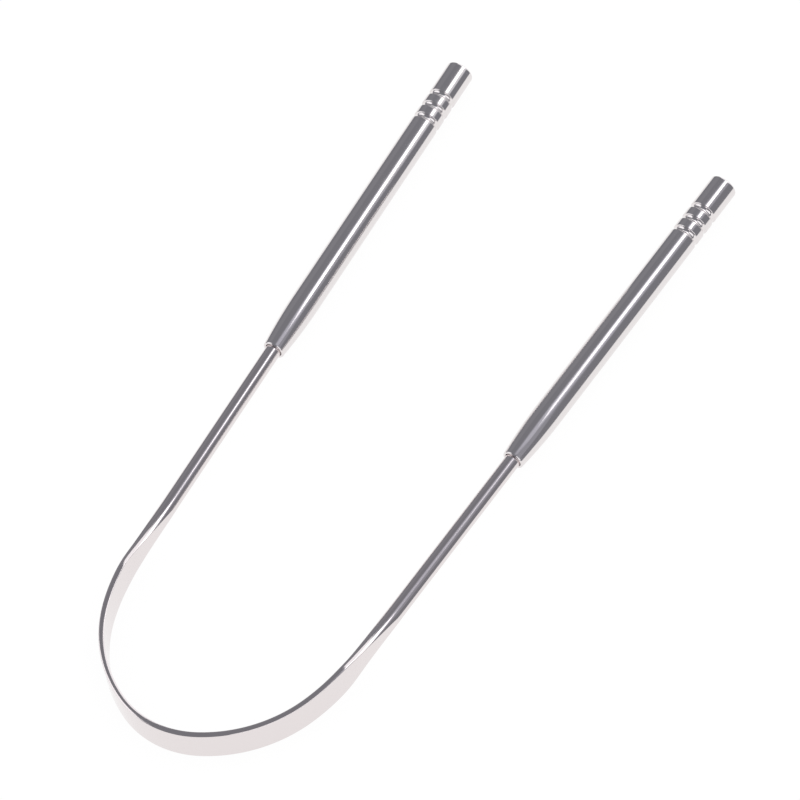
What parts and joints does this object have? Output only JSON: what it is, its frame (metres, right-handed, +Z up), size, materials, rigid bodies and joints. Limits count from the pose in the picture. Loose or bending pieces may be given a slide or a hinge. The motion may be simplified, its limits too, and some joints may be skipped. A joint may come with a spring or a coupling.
{
  "type": "tongue scraper",
  "caption": "Hand-held tongue scraper: a wire bent into a U, its bow pressed flat as the scraping blade, with a grooved tubular handle on each arm.",
  "frame": {"origin": "under the middle of the overall length, on the mid-plane between the handles, in the plane of the blade's lower edge", "axes": "+Y from the nose of the bow toward the handle tails, +Z up along the blade's height, +X toward the right handle"},
  "size_m": [0.063, 0.1501, 0.0068],
  "materials": {
    "polished_steel": "polished",
    "plain_steel": "satin"
  },
  "bodies": {
    "root": {"scraper_bow": "polished_steel", "handle_tube_left": "polished_steel", "handle_tube_right": "polished_steel", "anchor_plug_left": "plain_steel", "anchor_plug_right": "plain_steel"}
  },
  "joints": []
}
